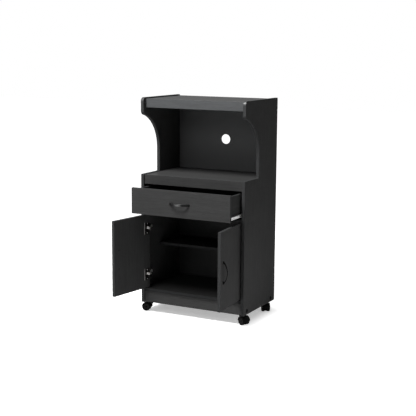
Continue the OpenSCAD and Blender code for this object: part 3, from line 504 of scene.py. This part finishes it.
bow = {"length": 0.116, "out": 0.024, "span": 0.096, "midWidth": 0.0105, "endWidth": 0.0135,
    "midThick": 0.0046, "endThick": 0.0062, "swell": 3, "wideCurve": 0.7, "deepCurve": 0.8,
    "rings": 56, "sides": 20, "postSides": 24, "weld": 1e-7, "smooth": 50}
postProfile = [(0, 0.0001, 0), (0.0045, 0.0001, 0), (0.0045, 0.0014, 0), (0.0036, 0.0024, 0),
    (0.0036, 0.0072, 0), (0, 0.0072, 0)]


def bowHandle(name, turn, body, replaced, finish="blackGloss"):
    mesh = bmesh.new()
    half, out = bow["length"] / 2, bow["out"]
    radius = (half ** 2 + out ** 2) / (2 * out)
    reach = math.asin(half / radius)
    rings = []
    for k in range(bow["rings"] + 1):
        share = 2 * k / bow["rings"] - 1  # -1 at one foot, 1 at the other
        angle = share * reach
        swell = abs(share) ** bow["swell"]
        width = bow["midWidth"] + (bow["endWidth"] - bow["midWidth"]) * swell
        thick = bow["midThick"] + (bow["endThick"] - bow["midThick"]) * swell
        outward = Vector((math.sin(angle), -math.cos(angle), 0))
        along = Vector((math.cos(angle), math.sin(angle), 0))
        centre = Vector((0, radius - out, 0)) + outward * (radius - bow["midThick"] / 2)
        ring = []
        for i in range(bow["sides"]):
            cosine = math.cos(math.tau * i / bow["sides"])
            sine = math.sin(math.tau * i / bow["sides"])
            across = math.copysign(abs(cosine) ** bow["wideCurve"], cosine) * width / 2
            deep = math.copysign(abs(sine) ** bow["deepCurve"], sine) * thick / 2
            point = centre + outward * deep + Vector((0, 0, across))
            if point.y > 0:  # the feet end flat on the front
                point -= along * (point.y / along.y)
            ring.append(mesh.verts.new(turn @ point))
        rings.append(ring)
    for one, two in zip(rings, rings[1:]):
        bridge(mesh, one, two)
    mesh.faces.new(rings[0][::-1])
    mesh.faces.new(rings[-1])
    for x in (-bow["span"] / 2, bow["span"] / 2):
        post = turn @ Matrix.Translation((x, 0, 0)) @ Matrix.Rotation(math.pi / 2, 4, "X")
        lathe(mesh, postProfile, post, bow["postSides"])
    bmesh.ops.remove_doubles(mesh, verts=mesh.verts, dist=bow["weld"])
    showMesh(name, mesh, body, [finish], replaced, bow["smooth"])


handlePlace = {"drawerFront": -0.3185, "drawerMid": 0.6179, "doorX": 0.0375, "doorFront": -0.1935,
    "doorMid": 0.3239}
bowHandle("drawer_bow_handle", Matrix.Translation((0, handlePlace["drawerFront"],
    # the drawer handle wears the enamel with the painted highlight
    handlePlace["drawerMid"])), "drawer", ["drawer_handle"], "glintPatchEnamel")
for side, word in ((-1, "left"), (1, "right")):
    upright = doorTurn(side) @ Matrix.Translation((side * handlePlace["doorX"],
        handlePlace["doorFront"], handlePlace["doorMid"])) @ Matrix.Rotation(math.pi / 2, 4, "Y")
    bowHandle(word + "_bow_handle", upright, word + "_door_leaf", [word + "_door_handle"])
print("handles bent")


# screws with cross recesses

screwHead = {"radius": 0.003, "height": 0.001, "handleRadius": 0.004, "handleHeight": 0.002,
    "slot": 0.0005, "reach": 0.0019, "depth": 0.0008, "dome": 0.4, "sides": 32, "smooth": 30,
    "rings": (1, 0.93, 0.8, 0.62, 0.5, 0.36, 0.2, 0.08)}  # rings: shares of the radius


def crossHead(mesh, turn, radius=screwHead["radius"], height=screwHead["height"]):
    # a domed head whose top looks along +Z of the matrix turn, seated at its origin
    domed = [(share, 1 - screwHead["dome"] * share ** 2) for share in screwHead["rings"]]
    rings = []
    for share, rise in [(1, 0)] + domed:
        ring = []
        for k in range(screwHead["sides"]):
            angle = math.tau * k / screwHead["sides"]
            x, y = radius * share * math.cos(angle), radius * share * math.sin(angle)
            inCross = (min(abs(x), abs(y)) < screwHead["slot"]
                and share * radius < screwHead["reach"])
            z = height * rise - screwHead["depth"] * inCross
            ring.append(mesh.verts.new(turn @ Vector((x, y, z))))
        rings.append(ring)
    for one, two in zip(rings, rings[1:]):
        bridge(mesh, one, two)
    mesh.faces.new(rings[-1])


def facing(place, outward):
    return Matrix.Translation(place) @ Vector(outward).to_track_quat("Z", "Y").to_matrix().to_4x4()


screwAt = {"slideYs": (-0.1355, -0.0005, 0.1345), "slideZ": 0.565275, "slideX": 0.2828,
    "plateYs": (-0.1325, -0.1185), "hingeZs": (0.2089, 0.4549), "plateX": 0.2815,
    "cupX": 0.258478, "cupFlange": -0.1765, "cupSpan": 0.024, "doorInside": -0.1775}
mesh = bmesh.new()
for side in (-1, 1):
    for y in screwAt["slideYs"]:
        crossHead(mesh, facing((side * screwAt["slideX"], y, screwAt["slideZ"]), (-side, 0, 0)))
    for z in screwAt["hingeZs"]:
        for y in screwAt["plateYs"]:
            crossHead(mesh, facing((side * screwAt["plateX"], y, z), (-side, 0, 0)))
showMesh("carcass_screw_heads", mesh, "carcass", ["zinc"], ["carcass_screws"],
    screwHead["smooth"])

for side, word in ((-1, "left"), (1, "right")):
    mesh = bmesh.new()
    for z in screwAt["hingeZs"]:
        for step in (-screwAt["cupSpan"], screwAt["cupSpan"]):
            crossHead(mesh, doorTurn(side) @ facing((side * screwAt["cupX"],
                screwAt["cupFlange"], z + step), (0, 1, 0)))
    showMesh(word + "_door_screw_heads", mesh, word + "_door_leaf", ["zinc"],
        [word + "_door_screws"], screwHead["smooth"])
    mesh = bmesh.new()
    for step in (-bow["span"] / 2, bow["span"] / 2):
        crossHead(mesh, doorTurn(side) @ facing((side * handlePlace["doorX"],
            screwAt["doorInside"], handlePlace["doorMid"] + step), (0, 1, 0)),
            screwHead["handleRadius"], screwHead["handleHeight"])
    showMesh(word + "_handle_screw_heads", mesh, word + "_door_leaf",
        ["blackSteel"], smoothAngle=screwHead["smooth"])
print("screw heads cut")


# lips along the far side of the hinge cups' flanges

lip = {"edge": 0.280978, "from": 0.0385, "to": 0.0445, "face": -0.1775, "thick": 0.001,
    "bead": 0.0017, "lift": 0.0002, "curl": 150, "curlSteps": 10, "half": 0.031,
    "ease": 0.0003, "segments": 2}


def lipOutline(side):
    points = [(lip["from"], lip["face"]), (lip["to"], lip["face"])]
    points += arc((lip["to"] - lip["bead"], lip["face"] + lip["lift"]), lip["bead"], 0,
        lip["curl"], lip["curlSteps"])
    points += [(lip["from"], lip["face"] + lip["thick"])]
    return [(side * (lip["edge"] - x), y) for x, y in points]


for side, word in ((-1, "left"), (1, "right")):
    mesh = bmesh.new()
    for middle in screwAt["hingeZs"]:
        ends = [[mesh.verts.new(doorTurn(side) @ Vector((x, y, z))) for x, y in lipOutline(side)]
            for z in (middle - lip["half"], middle + lip["half"])]
        caps = [mesh.faces.new(ends[0][::-1]), mesh.faces.new(ends[1])]
        bridge(mesh, *ends)
        easeEdges(mesh, [e for cap in caps for e in cap.edges], lip["ease"], lip["segments"],
            clamp=True)
    showMesh(word + "_hinge_lips", mesh, word + "_door_leaf", ["lipSteel"])
print("hinge lips bent")


# casters

caster = {"spots": {"front_left": (-0.264, -0.1485, 196), "front_right": (0.264, -0.1485, 336),
    "rear_left": (-0.264, 0.1495, 205), "rear_right": (0.264, 0.1495, 304)},
    "trail": 0.026, "axle": 0.022, "screwIn": 0.014, "plateUnder": 0.0624, "sides": 72,
    "weld": 1e-6, "smooth": 35}  # spots: x, y and heading in degrees
wheelProfile = [  # radius, distance from the caster's middle, finish: 0 face, 1 tread, 2 rim and hub
    (0, 0.0206, 2), (0.0038, 0.0206, 2), (0.0048, 0.0202, 2), (0.0052, 0.0192, 2),
    (0.0060, 0.0186, 0), (0.0136, 0.0184, 0), (0.0150, 0.0190, 0), (0.0156, 0.0206, 2),
    (0.0162, 0.0214, 2), (0.0170, 0.0216, 2), (0.0192, 0.0216, 2), (0.0199, 0.0213, 2),
    (0.0201, 0.0208, 2), (0.0204, 0.0206, 1), (0.0212, 0.0204, 1), (0.0218, 0.0198, 1),
    (0.0220, 0.0189, 1), (0.0220, 0.0073, 1), (0.0218, 0.0064, 1), (0.0212, 0.0058, 1),
    (0.0204, 0.0055, 1), (0.0201, 0.0050, 2), (0.0192, 0.0046, 2), (0.0030, 0.0046, 2),
    (0.0025, 0.0046, 2), (0.0025, 0, 2)]
for word, (x, y, heading) in caster["spots"].items():
    mesh = bmesh.new()
    stand = Matrix.Translation((x, y, 0)) @ Matrix.Rotation(math.radians(heading), 4, "Z")
    axle = stand @ Matrix.Translation((caster["trail"], 0, caster["axle"]))
    for half in (-1, 1):
        lathe(mesh, wheelProfile, axle @ Matrix.Rotation(half * math.pi / 2, 4, "X"),
            caster["sides"])
    bmesh.ops.remove_doubles(mesh, verts=mesh.verts, dist=caster["weld"])
    showMesh(word + "_twin_wheels", mesh, word + "_caster_wheels",
        ["wheelFace", "tread", "blackPlastic"], [word + "_wheels"], caster["smooth"])
mesh = bmesh.new()
for x, y, _ in caster["spots"].values():
    for dx in (-caster["screwIn"], caster["screwIn"]):
        for dy in (-caster["screwIn"], caster["screwIn"]):
            crossHead(mesh, facing((x + dx, y + dy, caster["plateUnder"]), (0, 0, -1)))
showMesh("caster_screw_heads", mesh, "carcass", ["zinc"], ["caster_screws"],
    screwHead["smooth"])
print("casters turned")


# CAD pieces: their finish, and a small ease on the edges of those that stay

ease = {"weld": 2e-6, "segments": 2, "angle": 50}
easeWidth = {"zinc": 0.0002, "armSteel": 0.0003, "shadeDarkCupSteel": 0.0003, "enamel": 0.0002,
    "nylon": 0.0005, "blackPlastic": 0.0004, "blackSteel": 0.0003, "capPlastic": 0.0003}


def wearFinish(thing, name):
    thing.data.materials.clear()
    thing.data.materials.append(finishes[name])


for finish, names in nodeFinish.items():
    for name in names:
        thing = nodes[name]
        wearFinish(thing, finish)
        if finish in easeWidth and not thing.hide_render:
            thing.modifiers.new("joined", "WELD").merge_threshold = ease["weld"]
            soft = thing.modifiers.new("eased", "BEVEL")
            soft.width = easeWidth[finish]
            soft.segments = ease["segments"]
            soft.limit_method = "ANGLE"
            soft.angle_limit = math.radians(ease["angle"])
            soft.harden_normals = True
for name in ("left_side_panel", "right_side_panel", *[n for names in boards.values() for n in names],
        "drawer_handle", "left_door_handle", "right_door_handle",
        *[word + "_wheels" for word in caster["spots"]]):
    wearFinish(nodes[name], "grainX")  # replaced by the scene's own meshes, so not seen
print("CAD pieces finished")


# floor, light and camera

floor = {"size": 30, "tone": 0.85, "lift": 0.42, "shade": (0.25, 0.14, 1), "far": 0.12}
data = bpy.data.meshes.new("floor")
half = floor["size"] / 2
data.from_pydata([(-half, -half, 0), (half, -half, 0), (half, half, 0), (-half, half, 0)], [],
    [(0, 1, 2, 3)])
ground = bpy.data.objects.new("floor", data)
bpy.context.scene.collection.objects.link(ground)
look = Finish("pale floor", {"Base Color": grey(floor["tone"]), "Roughness": 0.8,
    "Specular IOR Level": 0.1, "Emission Color": (1, 1, 1, 1)})
away = look.stretched((1, 1, 1))  # how far a point lies outside the shaded rectangle
for operation, others in (("ABSOLUTE", []), ("SUBTRACT", [floor["shade"]]),
        ("MAXIMUM", [(0, 0, 0)])):
    away = look.add("ShaderNodeVectorMath", {"operation": operation}, [away, *others])
reach = look.add("ShaderNodeVectorMath", {"operation": "LENGTH"}, [away], "Value")
# the floor's glow is low beneath the cabinet and full white beyond it: painted light that whitens
# out the lamps' cast shadows away from the footprint
glowOverShadows = look.add("ShaderNodeMapRange", {"interpolation_type": "SMOOTHSTEP"},
    [reach, 0.0, floor["far"], floor["lift"], 1.0])
look.feed(look.shader.inputs["Emission Strength"], look.seen() * glowOverShadows)
data.materials.append(look.material)

sky = {"left": 0.2, "right": 0.015}  # how strong the unseen surroundings are on either side
world = bpy.data.worlds.new("studio")
bpy.context.scene.world = world
look = Finish("studio", {"Color": (1, 1, 1, 1)}, world)
way = look.add("ShaderNodeTexCoord", output="Generated")
leftward = look.add("ShaderNodeSeparateXYZ", {}, [way], "X") * -0.5 + 0.5
level = leftward * (sky["left"] - sky["right"]) + sky["right"]
white = look.seen()
look.feed(look.shader.inputs["Strength"], white + (1 - white) * level)

lamps = {
    "key": {"at": (-0.5, -1.7, 3.4), "aim": (0, -0.1, 0.7), "size": 1.2, "power": 140},
    "front": {"at": (-0.4, -4.0, 2.6), "aim": (0, 0, 0.8), "size": 1.2, "power": 26},
    "side": {"at": (2.3, -0.5, 0.9), "aim": (0.2, -0.2, 0.6), "size": 0.8, "power": 2.5},
    "low": {"at": (0.75, -0.2, 0.14), "aim": (0.3, -0.25, 0.15), "size": 0.3, "power": 0.45},
}
for name, lamp in lamps.items():
    light = bpy.data.lights.new(name, "AREA")
    light.shape = "DISK"
    light.size = lamp["size"]
    light.energy = lamp["power"]
    holder = bpy.data.objects.new(name, light)
    holder.location = lamp["at"]
    holder.visible_camera = False
    aim = Vector(lamp["aim"]) - Vector(lamp["at"])
    holder.rotation_euler = aim.to_track_quat("-Z", "Y").to_euler()
    bpy.context.scene.collection.objects.link(holder)

shot = {"at": (2.3848, -4.5822, 1.4275), "yaw": 0.4809, "pitch": 0.1672, "roll": 0.0071,
    "lens": 85.88, "sensor": 36}
camera = bpy.data.cameras.new("camera")
camera.lens = shot["lens"]
camera.sensor_width = shot["sensor"]
eye = bpy.data.objects.new("camera", camera)
eye.matrix_world = (Matrix.Translation(shot["at"]) @ Matrix.Rotation(shot["yaw"], 4, "Z")
    @ Matrix.Rotation(math.pi / 2 - shot["pitch"], 4, "X") @ Matrix.Rotation(shot["roll"], 4, "Z"))
bpy.context.scene.collection.objects.link(eye)
bpy.context.scene.camera = eye
bpy.context.scene.view_settings.view_transform = "Standard"
print("floor, light and camera set")
